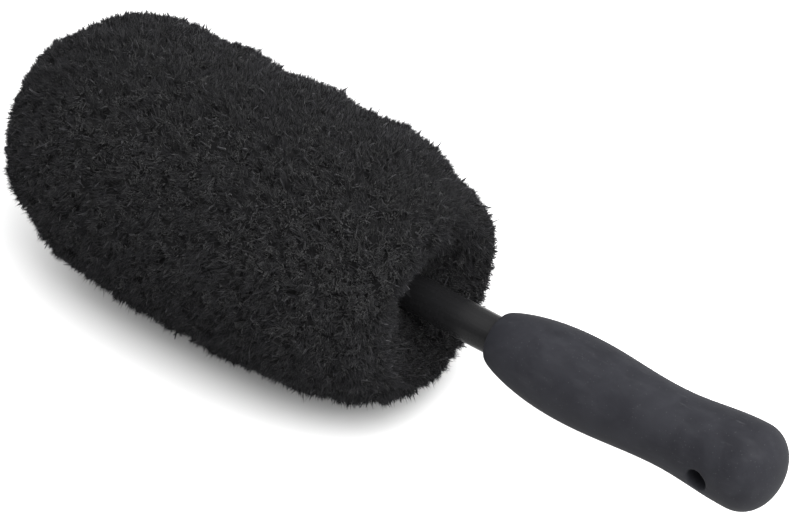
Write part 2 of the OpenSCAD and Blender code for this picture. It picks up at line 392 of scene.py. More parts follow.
def moulded_plastic():
    """Black glass-filled nylon with a fine spark-eroded grain."""
    f = Finish("moulded_plastic", 0.48, Specular_IOR_Level=0.2)
    f.colour(f.ramp(f.noise(2.5 * MM, 4, 0.6), (0.3, (0.009, 0.009, 0.0094)), (0.75, (0.016, 0.016, 0.0168))))
    f.roughness(f.scaled(f.noise(4 * MM, 2), 0.3, 0.7, 0.42, 0.58))
    f.bump(f.cells(0.28 * MM), 0.04 * MM, 0.5)
    return f.material


def plated_steel():
    """Zinc-plated steel with drawing lines and slightly duller patches."""
    f = Finish("plated_steel", 0.3, Metallic=1.0)
    f.colour(f.ramp(f.noise(1.5 * MM, 4, 0.6), (0.3, (0.42, 0.43, 0.44)), (0.75, (0.60, 0.61, 0.62))))
    f.roughness(f.scaled(f.noise(0.9 * MM, 3, 0.6), 0.3, 0.75, 0.22, 0.42))
    f.bump(f.noise(0.25 * MM, 2, 0.5, stretch=(1, 1, 0.1)), 0.01 * MM, 0.4)
    return f.material


def open_foam():
    """Grey polyurethane foam with open cells."""
    f = Finish("open_foam", 0.95, Specular_IOR_Level=0.15)
    pores = f.cells(1.0 * MM)
    f.colour(f.ramp(pores, (0.05, (0.014, 0.014, 0.015)), (0.6, (0.046, 0.047, 0.049))))
    f.bump(pores, 0.35 * MM, 0.9)
    f.bump(f.noise(7 * MM, 3, 0.5), 0.3 * MM, 0.5)
    return f.material


def nylon_tricot():
    """Thin black warp-knit nylon: fine wales along the brush, shallow creases and one stitched seam."""
    f = Finish("nylon_tricot", 0.55, Specular_IOR_Level=0.06)
    angle = f.attribute("round_way")
    wales = f.wave(angle, 2 * math.pi * 230)
    rows = f.wave(f.attribute("long_way"), 2 * math.pi / (0.9 * MM))
    knit = f.maths("MULTIPLY", wales, rows)
    shade = f.ramp(f.scaled(knit, -1, 1), (0.1, (0.003, 0.003, 0.0033)), (0.9, (0.011, 0.011, 0.0118)))
    # Lighter cloudy patches: worn spots, with their sheen painted into the colour.
    shade = f.blend(f.scaled(f.noise(14 * MM, 3), 0.35, 0.7, 0, 0.7), shade, (0.015, 0.015, 0.016))
    seam = f.scaled(f.maths("ABSOLUTE", f.maths("SUBTRACT", angle, 0.25), 0), 0.005, 0.008, 1, 0)
    f.colour(f.blend(f.maths("MULTIPLY", seam, 0.8), shade, (0.0025, 0.0025, 0.0028)))
    f.bump(f.noise(7 * MM, 2, 0.5, stretch=(0.3, 1, 1)), 1.2 * MM, 0.5)
    stitches = f.wave(f.attribute("long_way"), 2 * math.pi / (2.4 * MM))
    f.bump(f.maths("MULTIPLY", seam, stitches), 0.4 * MM, 0.8)
    f.bump(knit, 0.16 * MM, 0.9)
    return f.material


def knitted_backing():
    """Charcoal weft-knit polyester, seen inside the cover."""
    f = Finish("knitted_backing", 0.9, Specular_IOR_Level=0.1, Sheen_Weight=0.04, Sheen_Roughness=0.5)
    angle = f.attribute("round_way")
    wales = f.wave(angle, 2 * math.pi * 150)
    rows = f.wave(f.attribute("long_way"), 2 * math.pi / (1.5 * MM))
    knit = f.maths("ADD", f.maths("MULTIPLY", wales, 0.6), f.maths("MULTIPLY", rows, 0.4))
    fuzz = f.noise(0.5 * MM, 3, 0.6)
    shade = f.ramp(f.scaled(knit, -1, 1), (0.1, (0.005, 0.005, 0.0054)), (0.9, (0.016, 0.016, 0.017)))
    f.colour(f.blend(f.scaled(fuzz, 0.4, 0.8, 0, 0.5), shade, (0.019, 0.019, 0.020)))
    f.bump(knit, 0.25 * MM, 0.8)
    f.bump(fuzz, 0.1 * MM, 0.5)
    return f.material


def seam_thread():
    """Matt black polyester thread with its twist."""
    f = Finish("seam_thread", 0.7, Specular_IOR_Level=0.15, Sheen_Weight=0.05)
    twist = f.noise(0.35 * MM, 2, 0.5, stretch=(1, 0.4, 0.4))
    f.colour(f.ramp(twist, (0.3, (0.006, 0.006, 0.0065)), (0.7, (0.024, 0.024, 0.025))))
    f.bump(twist, 0.08 * MM, 0.7)
    return f.material


def braided_elastic():
    """White braided elastic cord."""
    f = Finish("braided_elastic", 0.8, Specular_IOR_Level=0.25, Sheen_Weight=0.2)
    braid = f.cells(0.45 * MM)
    f.colour(f.ramp(braid, (0.1, (0.34, 0.33, 0.31)), (0.7, (0.52, 0.51, 0.49))))
    f.bump(braid, 0.1 * MM, 0.8)
    return f.material


def microfibre(name, gain):
    """Charcoal split microfibre, paler from tuft to tuft, with painted shade by height: darkest at the root,
    deep in the pile, and paler towards the tip.
    """
    f = Finish(name, 0.85, Specular_IOR_Level=0.07, Sheen_Weight=0.12, Sheen_Roughness=0.45)
    height, tone = f.attribute("height"), f.attribute("tone")

    def shaded_by_height(*colours):
        """The colours at the root, half way up and at the tip, each times the gain: painted shade, darkest at
        the root deep in the pile.
        """
        return f.ramp(height, *[(place, tuple(level * gain for level in colour))
                                for place, colour in zip((0.0, 0.55, 1.0), colours)])

    # Painted shade: both tones are darkest at the root, where the pile shades itself.
    dark = shaded_by_height((0.0055, 0.0055, 0.0065), (0.017, 0.017, 0.0192), (0.032, 0.032, 0.0358))
    light = shaded_by_height((0.010, 0.010, 0.0112), (0.034, 0.034, 0.0384), (0.072, 0.072, 0.080))
    f.colour(f.blend(tone, dark, light))
    return f.material


def pale_floor():
    """Matt studio floor, hardly mottled."""
    f = Finish("pale_floor", 0.8, Specular_IOR_Level=0.2)
    f.colour(f.ramp(f.noise(0.4, 2), (0.3, (0.61, 0.61, 0.61)), (0.7, (0.63, 0.63, 0.63))))
    return f.material


rubber = soft_touch_rubber()
gloss_black = shaft_plastic()
nylon = moulded_plastic()
steel = plated_steel()
foam = open_foam()
tricot = nylon_tricot()
knit = knitted_backing()
thread = seam_thread()
elastic = braided_elastic()
fibre = microfibre("microfibre", 0.25)
# The pile's ground is the microfibre made far darker: painted shade deep between the tufts.
ground = microfibre("microfibre_shaded_ground", 0.09)
strand = microfibre("microfibre_strand", 0.42)

# ---- hard CAD parts that stay ----

for node, material, slot in (
    ("shaft_tube", gloss_black, "shaft_plastic"),
    ("handle_core", nylon, "moulded_plastic"),
    ("tip_plug", nylon, "moulded_plastic"),
    ("tip_disc", nylon, "moulded_plastic"),
    ("neck_collar", nylon, "moulded_plastic"),
    ("socket_pin", steel, "steel"),
    ("collar_pin", steel, "steel"),
    ("tip_screw", steel, "steel"),
):
    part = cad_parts[node]
    part.data.materials.clear()
    part.data.materials.append(material)
    shade_smooth(part.data)
    split = part.modifiers.new("edges", "EDGE_SPLIT")
    split.split_angle = math.radians(35)

# ---- grip ----

GRIP_ROLL = math.radians(6)
NOSE_R, BULGE_R, WAIST_R, POMMEL_R = 9.6 * MM, 16.3 * MM, 14.3 * MM, 16.4 * MM
NOSE_LEN = 36 * MM
POMMEL_CAP, POMMEL_FULLNESS = 13 * MM, 2.15
POMMEL_OFFSET = 1.5 * MM
BEND_FROM = 54 * MM
WAIST_SHARE = 0.545
HOLE_R = 4 * MM
HOLE_FROM_END = 23.5 * MM
MOUTH_FLARE = 0.6 * MM
grip_len = butt_x - nose_x
pommel_in = grip_len - POMMEL_CAP
waist_in = NOSE_LEN + (pommel_in - NOSE_LEN) * WAIST_SHARE


def grip_radius(x):
    """Radius of the grip at a distance from its nose."""
    nose = NOSE_R + (BULGE_R - NOSE_R) * np.sin(np.pi / 2 * np.clip(x / NOSE_LEN, 0, 1) ** 0.75)
    front = BULGE_R + (WAIST_R - BULGE_R) * ease((x - NOSE_LEN) / (waist_in - NOSE_LEN))
    rear = WAIST_R + (POMMEL_R - WAIST_R) * ease((x - waist_in) / (pommel_in - waist_in))
    cap = POMMEL_R * superellipse(np.clip((x - pommel_in) / POMMEL_CAP, 0, 1), POMMEL_FULLNESS)
    return np.select([x < NOSE_LEN, x < waist_in, x < pommel_in], [nose, front, rear], cap)


def grip_lift(x):
    """How far the grip's middle stands off the shaft's line."""
    return POMMEL_OFFSET * ease((x - BEND_FROM) / (pommel_in - BEND_FROM))


def roll_grip(points):
    """Points drawn round the X axis, rolled and raised to where the brush lies."""
    c, s = math.cos(GRIP_ROLL), math.sin(GRIP_ROLL)
    y, z = points[:, 1].copy(), points[:, 2].copy()
    points[:, 1] = y * c - z * s
    points[:, 2] = y * s + z * c + axis_z
    return points


def unroll_grip(points):
    """Points of the grip as they were before the roll."""
    c, s = math.cos(GRIP_ROLL), math.sin(GRIP_ROLL)
    y, z = points[:, 1], points[:, 2] - axis_z
    return np.stack([points[:, 0], y * c + z * s, -y * s + z * c], axis=1)


def closed_rings(name, centres, radii, sides):
    """Rings round X at (x, z) centres, closed at both ends."""
    angle = full_turn(sides)
    points = np.concatenate([
        np.stack([np.full(sides, x), r * np.cos(angle), z + r * np.sin(angle)], axis=1)
        for (x, z), r in zip(centres, radii)
    ])
    obj = mesh_from_arrays(name, roll_grip(points), grid_faces(len(radii), sides, False)[:, ::-1])
    return close_up(obj)


def make_grip():
    """The rubber sleeve: a smooth skin, bored for the shaft, with a hang hole whose mouths are rounded."""
    voxel = 0.5 * MM
    hole_in = grip_len - HOLE_FROM_END
    swell = np.concatenate([
        np.linspace(0, 1, 40)[:-1] ** 1.6 * NOSE_LEN,
        np.linspace(NOSE_LEN, pommel_in, 70)[:-1],
        pommel_in + POMMEL_CAP * np.sin(np.linspace(0, np.pi / 2 - 0.02, 30)),
    ])
    centres = np.stack([nose_x + swell, grip_lift(swell)], axis=1)
    grip = closed_rings("grip", centres, grip_radius(swell), 96)
    shaft_end = nose_x + 12 * MM
    bore = closed_rings("bore_tool", [(nose_x - 5 * MM, 0), (shaft_end, 0)], [shaft_r + 0.1 * MM] * 2, 64)
    depth = np.linspace(-1.25 * POMMEL_R, 1.25 * POMMEL_R, 60)
    flare = MOUTH_FLARE * np.clip((np.abs(depth) - POMMEL_R + 3.6 * MM) / (3.6 * MM), 0, 1.3) ** 2
    drill = closed_rings("drill_tool", [(x, 0) for x in depth], HOLE_R + flare, 64)
    flat = unroll_grip(read_points(drill))
    drilled = np.stack([nose_x + hole_in + flat[:, 1], -flat[:, 0], flat[:, 2] + grip_lift(hole_in)], axis=1)
    write_points(drill, roll_grip(drilled))
    cut(grip, bore)
    cut(grip, drill)
    with_modifier(grip, "REMESH", mode="VOXEL", voxel_size=voxel, adaptivity=0.0)
    with_modifier(grip, "SMOOTH", factor=0.5, iterations=6)
    points = unroll_grip(read_points(grip))
    x = points[:, 0] - nose_x
    lifted = points[:, 2] - grip_lift(x)
    radius = np.hypot(points[:, 1], lifted)
    skin = np.abs(radius - grip_radius(np.clip(x, 0, grip_len))) < 0.8 * MM
    off_hole = np.hypot(points[:, 0] - nose_x - hole_in, points[:, 2] - grip_lift(hole_in))
    inside_ends = (x > 1.5 * MM) * (x < grip_len - 3 * MM)
    share = ease((off_hole - HOLE_R - MOUTH_FLARE - 1.2 * MM) / (1.6 * MM)) * skin * inside_ends
    wanted = radius + share * (grip_radius(np.clip(x, 0, grip_len)) - radius)
    grow = wanted / np.maximum(radius, 1e-9)
    points[:, 1] *= grow
    points[:, 2] = grip_lift(x) + lifted * grow
    write_points(grip, roll_grip(points))
    shade_smooth(grip.data)
    return grip


keep(make_grip(), "handle", "grip_rubber", rubber, "grip_sleeve")

# ---- pile ----

GROUND_DEPTH = 2.4 * MM
GROUND_STEP = 1.05 * MM
SEAM_ROOM = 1.4 * MM
TIP_REACH, TIP_FULLNESS = 54.8 * MM, 1.7
REAR_REACH, REAR_FULLNESS = 42 * MM, 2.1
CROWN_R = 31 * MM
DISH_DEPTH = 13.5 * MM
DISH_CURVE = 1.2
DISH_END_R = shaft_r + 0.8 * MM
# How far the pile swells or sags from a plain outline, as (place along it, all round, more on the
# upper right and less on the lower left), in millimetres
SAG = (
    (0, -1.5, 0), (26, -2.0, 0.3), (35, -0.5, 0.8), (45, -0.2, 0), (60, -1.0, 1.7), (78, -1.1, 0.3),
    (92, -0.5, -0.5), (110, 0.9, -0.5), (122, 0, -1.0), (132, 0.9, -0.9), (146, 1.3, 0), (160, 0.2, -1.2),
    (177, 0.3, 0.3), (188, -0.8, 0), (197, -2.2, -0.8), (204, -3.1, -1.6), (215, -2.8, -0.4),
    (224, -0.9, -0.4), (242, 0, 0),
)
SAG_SIDE = math.radians(42)


def pile_outline():
    """Where the pile's ends lie: a blunt tip, a straight side, a full shoulder and a dish round the shaft."""
    u = np.linspace(0, 1, 60) ** 1.7
    tip = np.stack([tip_x + u * TIP_REACH, head_r * superellipse(1 - u, TIP_FULLNESS)], axis=1)
    shoulder_x = crown_x - REAR_REACH
    side = np.stack([np.linspace(tip_x + TIP_REACH, shoulder_x, 40), np.full(40, head_r)], axis=1)[1:]
    u = 1 - (1 - np.linspace(0, 1, 70)[1:]) ** 1.7
    shoulder = np.stack([shoulder_x + REAR_REACH * u,
                         CROWN_R + (head_r - CROWN_R) * superellipse(u, REAR_FULLNESS)], axis=1)
    v = np.linspace(0, 1, 40)[1:]
    dish = np.stack([crown_x - DISH_DEPTH * v ** DISH_CURVE, CROWN_R - (CROWN_R - DISH_END_R) * v], axis=1)
    return Outline(np.concatenate([tip, side, shoulder, dish]))


outline = pile_outline()


def shortened(s):
    """How much shorter the pile is towards the shaft."""
    return np.clip((outline.length - s) / (13 * MM), 0.35, 1)


def eased_table(rows, s):
    """Values of the table's columns at each place, eased from row to row."""
    rows = np.array(rows, float) * MM
    i = np.clip(np.searchsorted(rows[:, 0], s, side="right") - 1, 0, len(rows) - 2)
    t = ease((s - rows[i, 0]) / (rows[i + 1, 0] - rows[i, 0]))
    return [rows[i, k] + (rows[i + 1, k] - rows[i, k]) * t for k in range(1, rows.shape[1])]


def pile_relief(points, s, angle):
    """Height of the pile's surface over its plain outline: sag, ridges, clumps, furrows and creases."""
    mean, bend = eased_table(SAG, s)
    ridges = 1 - 2 * np.abs(lumps(points, 11 * MM, 11))
    clumps = 1 - 2 * np.abs(lumps(points, 5.0 * MM, 12))
    fine = lumps(points, 2.0 * MM, 13)
    wander = lumps(points, 22 * MM, 14)
    furrow = np.cos(2 * np.pi * (points[:, 0] + 6 * MM * wander) / (10.5 * MM))
    strength = np.clip(0.5 + lumps(points, 30 * MM, 15), 0, 1)
    creases = strength * np.exp(-(lumps(points * (1.4, 1, 1), 10 * MM, 16) / 0.09) ** 2)
    creases *= np.clip((outline.length - s) / (30 * MM) - 0.6, 0, 1)
    height_mm = 1.1 * ridges + 1.3 * clumps + 0.4 * fine + 0.4 * strength * furrow - 2.2 * creases - 0.85
    height_mm *= np.clip(s / (8 * MM), 0.2, 1) * np.clip((outline.length - s) / (14 * MM), 0.25, 1)
    return mean + bend * np.cos(angle - SAG_SIDE) + height_mm * MM


def pile_surface(s, angle, depth):
    """Points of the pile's surface at a depth below its ends, with their outward directions."""
    flat_normal = outline.normal(s)
    base = turned(outline.place(s), angle)
    out = turned(flat_normal, angle)
    points = base + out * (pile_relief(base, s, angle) - depth * shortened(s))[:, None]
    points[:, 2] += axis_z
    return points, out


def settle(points, lowest):
    """Presses points back up that would go through what the brush lies on, and off the shaft."""
    points[:, 2] = np.maximum(points[:, 2], lowest)
    y, z = points[:, 1], points[:, 2] - axis_z
    reach = np.hypot(y, z)
    grow = np.where(points[:, 0] > dome_x, np.maximum((shaft_r + 0.3 * MM) / reach, 1), 1)
    points[:, 1] = y * grow
    points[:, 2] = axis_z + z * grow
    return points


def make_ground():
    """The dense ground of the pile: its relief outside, and a plain inside that clears the backing."""
    sides = int(2 * np.pi * head_r / GROUND_STEP)
    s = np.linspace(0.3 * MM, outline.length, int(outline.length / GROUND_STEP))
    angle = np.tile(full_turn(sides), len(s))
    outer, _ = pile_surface(np.repeat(s, sides), angle, GROUND_DEPTH)
    settle(outer, 0.4 * MM)
    clear = 0.15 * MM
    inner_r = backing_r + SEAM_ROOM
    pole_r = 0.05 * MM
    last = outline.place(s[-1:])[0] - outline.normal(s[-1:])[0] * GROUND_DEPTH * shortened(s[-1])
    a = np.linspace(np.pi / 2, 0, 16)[:-1]
    inner = [(last[0] + 0.1 * MM, hem_r + clear), (hem_start + clear, hem_r + clear),
             (panel_x + SEAM_ROOM, hem_r + 1 * MM), (panel_x + SEAM_ROOM, inner_r - 1 * MM),
             (panel_x + 1.0 * MM, inner_r)]
    inner += [(dome_x + (1 - k / 8) * (panel_x - dome_x), inner_r) for k in range(1, 9)]
    inner += [(dome_x - inner_r * math.cos(t), max(inner_r * math.sin(t), pole_r)) for t in a[1:]]
    inner += [(dome_x - inner_r, pole_r)]
    inner = np.array(inner)
    inner_angle = np.tile(full_turn(sides), len(inner))
    inner_points = turned(np.repeat(inner, sides, axis=0), inner_angle)
    inner_points[:, 2] += axis_z
    points = np.concatenate([outer, inner_points])
    rings = len(s) + len(inner)
    obj = mesh_from_arrays("pile_ground", points, grid_faces(rings, sides, False)[:, ::-1])
    close_up(obj)
    # Painted shade: the outer ground takes a low place on the fibres' ramp, near its dark root.
    add_values(obj, "height", np.where(np.arange(len(points)) < len(outer), 0.25, 0.0))
    add_values(obj, "tone", np.clip(0.5 + 0.6 * lumps(points, 4 * MM, 21), 0, 1))
    return obj


def tuft_roots(spacing, seed):
    """(place along the outline, angle) of each tuft's root, evenly spread with some jitter."""
    rng = np.random.default_rng(seed)
    places, angles = [], []
    for s in np.arange(0.4 * MM, outline.length - 0.4 * MM, spacing):
        around = max(6, round(2 * np.pi * outline.place(np.array([s]))[0, 1] / spacing))
        places.append(s + rng.uniform(-0.5, 0.5, around) * spacing)
        angles.append((np.arange(around) + rng.uniform(-0.5, 0.5, around)) * 2 * np.pi / around)
    return np.concatenate(places), np.concatenate(angles)


def across(directions, seed):
    """Two directions across each direction, turned at random about it."""
    rng = np.random.default_rng(seed)
    side = unit(np.cross(directions, unit(rng.normal(size=directions.shape))))
    return side, np.cross(directions, side)


CLUMP = 2.3 * MM
TUFT_MM, TUFT_VARIES, TUFT_RANGE = 3.1, 0.5, (2.0, 4.4)
BLADES = 30
BLADE_MM = (0.17, 0.36)
PIECE_BLADES = 49000
CLEAR_OF_FLOOR = 0.15 * MM
STRAY_SHARE = 0.004
# The map that the fibres' colours are kept on: across it by tone, and up it from root to tip
MAP_HALF = 1.5 / 1024
MAP_LOW, MAP_HIGH = 0.01, 0.99


def make_tufts():
    """Clumps of tapered fibre bundles whose ends lean together, in a few pieces of bounded size."""
    rng = np.random.default_rng(5)
    s, angle = tuft_roots(CLUMP, 4)
    feet, out = pile_surface(s, angle, GROUND_DEPTH + 0.6 * MM)
    clumps = len(s)
    lean = np.stack([lumps(feet, 9 * MM, seed) for seed in (31, 32, 33)], axis=1)
    grain = unit(out + 0.35 * lean + 0.45 * rng.normal(size=(clumps, 3)))
    tall = (TUFT_MM + TUFT_VARIES * rng.normal(size=clumps)).clip(*TUFT_RANGE) * MM * shortened(s)
    shade = 0.45 + 0.30 * lumps(feet, 4.5 * MM, 34) + 0.17 * rng.normal(size=clumps)
    # Painted shade: the clumps are darker towards the shaft, down in the dish round it.
    shade = shade - 0.55 * (1 - shortened(s))
    of = np.repeat(np.arange(clumps), BLADES)
    count = len(of)
    side, other = across(out, 6)
    spread = CLUMP * 0.62 * np.sqrt(rng.uniform(0, 1, count))[:, None]
    turn = rng.uniform(0, 2 * np.pi, count)[:, None]
    roots = feet[of] + spread * (np.cos(turn) * side[of] + np.sin(turn) * other[of])
    length = tall[of] * rng.uniform(0.62, 1.06, count)
    stray = rng.uniform(0, 1, count) < STRAY_SHARE
    length[stray] *= rng.uniform(1.3, 2.2, stray.sum())
    ends = feet[of] + grain[of] * length[:, None] + (roots - feet[of]) * rng.uniform(0.45, 1.25, (count, 1))
    ends += rng.normal(size=(count, 3)) * 0.85 * MM
    way = unit(ends - roots)
    tone = np.clip(shade[of] + 0.14 * rng.normal(size=count) + 0.5 * stray, 0, 1)
    width = rng.uniform(*BLADE_MM, count) * MM * np.where(stray, 0.7, 1)
    across_a, across_b = across(way, 7)
    corners = []
    for k in range(3):
        turn = 2 * np.pi * k / 3
        corners.append(roots + (across_a * math.cos(turn) + across_b * math.sin(turn)) * width[:, None])
    blades = np.stack([*corners, ends], axis=1)
    up = np.array([(MAP_LOW, MAP_LOW, MAP_HIGH)] * 3 + [(0, 0, MAP_LOW)])
    pieces = []
    for i, start in enumerate(range(0, count, PIECE_BLADES)):
        some = blades[start:start + PIECE_BLADES]
        points = settle(some.reshape(-1, 3), CLEAR_OF_FLOOR)
        first = (np.arange(len(some)) * 4)[:, None]
        faces = np.concatenate([first + f for f in ([0, 1, 3], [1, 2, 3], [2, 0, 3], [0, 2, 1])], axis=1)
        obj = mesh_from_arrays(f"pile_tufts_{i + 1}", points, faces.reshape(-1, 3), smooth=False)
        shades = tone[start:start + PIECE_BLADES]
        add_values(obj, "height", np.tile([0.0, 0.0, 0.0, 1.0], len(some)))
        add_values(obj, "tone", np.repeat(shades, 4))
        lay_out(obj, shades, np.tile([-1, 1, 0], (4, 1)), up)
        pieces.append(obj)
    return pieces


STRAND_SPACING = 3.7 * MM
STRAND_RINGS = 5
STRAND_MM, STRAND_THICK_MM = (1.8, 3.2), (0.20, 0.42)


def make_strands():
    """Coarser, paler strand ends that curl out of the pile here and there."""
    rng = np.random.default_rng(9)
    s, angle = tuft_roots(STRAND_SPACING, 8)
    feet, out = pile_surface(s, angle, GROUND_DEPTH)
    count = len(s)
    grain = unit(out + 0.6 * rng.normal(size=(count, 3)))
    curl = unit(rng.normal(size=(count, 3))) * rng.uniform(0.2, 0.9, (count, 1))
    length = rng.uniform(*STRAND_MM, count) * MM * shortened(s)
    thick = rng.uniform(*STRAND_THICK_MM, count) * MM
    side, other = across(grain, 10)
    rings = []
    for t in np.linspace(0, 1, STRAND_RINGS):
        middle = feet + (grain * t + curl * t * t) * length[:, None]
        reach = (thick * math.sqrt(1 - 0.85 * t ** 3))[:, None]
        rings += [middle + side * reach, middle + other * reach, middle - side * reach, middle - other * reach]
    points = settle(np.stack(rings, axis=1).reshape(-1, 3), CLEAR_OF_FLOOR)
    each = 4 * STRAND_RINGS
    ends = [[3, 2, 1, 0], [each - 4, each - 3, each - 2, each - 1]]
    faces = np.concatenate([grid_faces(STRAND_RINGS, 4, False), ends])
    all_faces = (np.arange(count) * each)[:, None, None] + faces
    obj = mesh_from_arrays("pile_strands", points, all_faces.reshape(-1, 4))
    # Painted shade: the strands are darker towards the shaft, down in the dish round it; their tone otherwise
    # varies at random.
    tone = rng.beta(1.0, 5.0, count) * shortened(s) ** 2
    height = np.repeat(np.linspace(0, 1, STRAND_RINGS), 4)
    add_values(obj, "height", np.tile(height, count))
    add_values(obj, "tone", np.repeat(tone, each))
    up = MAP_LOW + (MAP_HIGH - MAP_LOW) * height[faces]
    up[-2], up[-1] = (0, 0, MAP_LOW, MAP_LOW), (MAP_HIGH, MAP_HIGH, 1, 1)
    lay_out(obj, tone, np.tile([-1, 1, 1, -1], (len(faces), 1)), up)
    return obj


def lay_out(obj, tone, aside, up):
    """Lays each fibre on the map at its tone, its corners a little aside of that and so far up."""
    middle = (MAP_HALF + tone * (1 - 2 * MAP_HALF))[:, None, None]
    u = middle + MAP_HALF * aside
    corners = np.stack([u, np.broadcast_to(up, u.shape)], axis=-1)
    obj.data.uv_layers.new(name="OFBake").data.foreach_set("uv", corners.astype(np.float32).ravel())


ground_piece = keep(make_ground(), "cover", "pile", ground, "pile_tip", "pile_sleeve", "pile_neck")
tuft_pieces = [keep(obj, "cover", "pile", fibre) for obj in make_tufts()]
tuft_pieces.append(keep(make_strands(), "cover", "pile", strand))

# ---- foam, and the liner on it ----

POLE_R = 0.02 * MM
LINER_GATHERS = 36


def arc(radius, steps):
    """The quarter circle of the tip from its pole to where the straight side starts."""
    t = np.linspace(0, np.pi / 2, steps)
    return [(dome_x - radius * math.cos(k), max(radius * math.sin(k), POLE_R)) for k in t]


def knit_ways(obj):
    """Gives each corner of a piece its share of a turn about the axis, and its place along the brush."""
    mesh = obj.data
    points = read_points(obj)
    corner = read_whole(mesh.loops, "vertex_index")
    count = read_whole(mesh.polygons, "loop_total")
    start = read_whole(mesh.polygons, "loop_start")
    turn = (np.arctan2(points[:, 2] - axis_z, points[:, 1]) / (2 * np.pi) % 1)[corner]
    highest = np.repeat(np.maximum.reduceat(turn, start), count)
    turn = np.where(highest - turn > 0.5, turn + 1, turn)
    reach = np.hypot(points[:, 1], points[:, 2] - axis_z)[corner]
    along = points[corner, 0] - reach
    add_values(obj, "round_way", turn, "CORNER")
    add_values(obj, "long_way", along, "CORNER")
    return obj


def rub_down(points, angle):
    """Foam that was ground to shape: its outside is a little low in places."""
    y, z = points[:, 1], points[:, 2]
    reach = np.hypot(y, z)
    centred = points - (dome_x, 0, 0)
    ball = np.where(points[:, 0] < dome_x, np.linalg.norm(centred, axis=1), reach)
    outside = ball > foam_r - 0.05 * MM
    low = 0.35 * MM * (0.5 + 0.5 * lumps(points, 8 * MM, 41))
    low += 0.15 * MM * (0.5 + 0.5 * lumps(points, 2 * MM, 42))
    shrink = 1 - np.where(outside, low, 0) / np.maximum(ball, 1e-9)
    points[:, 0] = np.where(points[:, 0] < dome_x, dome_x + centred[:, 0] * shrink, points[:, 0])
    points[:, 1:] *= shrink[:, None]
    return points


def make_foam_roller():
    """The foam tube on the shaft, with its edges rubbed round."""
    edge = 1.5 * MM
    along = np.linspace(foam_start, foam_end - edge, 60)
    section = [(x, foam_r) for x in along]
    section += [(foam_end - edge * (1 - math.sin(t)), foam_r - edge * (1 - math.cos(t)))
                for t in np.linspace(0, np.pi / 2, 6)[1:]]
    section += [(foam_end, r) for r in np.linspace(foam_r - edge, shaft_r, 16)[1:]]
    section += [(foam_start, r) for r in np.linspace(shaft_r, foam_r, 16)[:-1]]
    return revolved("foam_roller", section, 160, rub_down)


def make_foam_nose():
    """The half ball of foam, hollowed for the tip disc and its screw."""
    gap = 0.3 * MM
    disc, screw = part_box("tip_disc"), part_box("tip_screw")
    pocket_r, head_hole_r = disc[1].y + gap, screw[1].y + gap
    section = arc(foam_r, 40) + [(dome_x, r) for r in np.linspace(foam_r, pocket_r, 8)[1:]]
    section += [(disc[0].x - gap, pocket_r), (disc[0].x - gap, head_hole_r),
                (screw[0].x - gap, head_hole_r), (screw[0].x - gap, POLE_R)]
    return revolved("foam_nose", section, 160, rub_down, closed=False)


def make_liner():
    """The slick sock over the foam: one sheet, gathered over the tip, with shallow creases."""
    inside = foam_r + 0.1 * MM
    outside = liner_r - 0.05 * MM
    along = [dome_x + (foam_end - dome_x) * k / 60 for k in range(1, 61)]

    def gather(points, angle):
        reach = np.hypot(points[:, 1], points[:, 2])
        share = np.clip(1 - reach / (foam_r * 0.8), 0, 1) * np.clip(reach / (3 * MM), 0, 1)
        points[:, 0] += 0.09 * MM * share * (points[:, 0] < dome_x) * np.cos(LINER_GATHERS * angle)
        creases = lumps(points * (0.2, 1, 1), 5 * MM, 61) + 0.5 * lumps(points * (0.5, 1, 1), 2.5 * MM, 62)
        dent = 0.34 * MM * np.clip(0.35 + creases, 0, 1) * (reach > (inside + outside) / 2)
        points[:, 1:] *= (1 - dent / np.maximum(reach, 1e-9))[:, None]
        return points

    section = arc(outside, 40) + [(x, outside) for x in along]
    section += [(x, inside) for x in along[::-1]] + arc(inside, 40)[::-1]
    return revolved("liner_sock", section, 288, gather)


roller = keep(make_foam_roller(), "handle", "foam", foam, "foam_core")
nose_pad = keep(make_foam_nose(), "handle", "foam", foam, "tip_cushion")
liner = keep(knit_ways(make_liner()), "handle", "liner", tricot, "foam_liner")

# ---- the cover's backing, seams and hem ----

PLEATS, HEM_FOLDS, BRAID_TURNS = 30, 44, 40
HEM_LAP = 1.6 * MM
BACKING_CLEAR = 0.05 * MM
STITCH = 1.5 * MM
cavity_r = backing_r - panel_t


def soft_waves(points, angle):
    """The backing's slight waves, within its own room."""
    wave = 0.06 * MM * lumps(points, 12 * MM, 51)
    reach = np.maximum(np.hypot(points[:, 1], points[:, 2]), 1e-9)
    points[:, 1:] *= (1 + np.where(reach > 5 * MM, wave, 0) / reach)[:, None]
    return points


def make_backing_tip():
    """The backing over the dome."""
    section = arc(backing_r - BACKING_CLEAR, 44) + arc(cavity_r + BACKING_CLEAR, 44)[::-1]
    return revolved("backing_tip", section, 180, soft_waves)


def make_backing_sleeve():
    """The straight part of the backing."""
    along = np.linspace(dome_x, panel_x, 80)
    section = [(x, backing_r - BACKING_CLEAR) for x in along]
    section += [(x, cavity_r + BACKING_CLEAR) for x in along[::-1]]
    return revolved("backing_sleeve", section, 180, soft_waves)


def make_backing_neck():
    """The gathered panel: its pleats deepen towards the hem and stand into the space before the foam."""
    inner_r = hem_r - HEM_LAP
    radii = np.linspace(inner_r, cavity_r, 30)
    section = [(panel_x, r) for r in radii] + [(panel_x - panel_t, r) for r in radii[::-1]]

    def pleat(points, angle):
        reach = np.hypot(points[:, 1], points[:, 2])
        depth = 2.6 * MM * ease((cavity_r - reach) / (cavity_r - inner_r)) ** 0.8
        depth *= 0.85 + 0.15 * lumps(np.stack([np.cos(angle), np.sin(angle), 0 * angle], axis=1), 0.4, 52)
        points[:, 0] -= depth * (0.5 + 0.5 * np.cos(PLEATS * angle + 0.5 * np.sin(3 * angle)))
        return points

    return revolved("backing_neck", section, PLEATS * 14, pleat)


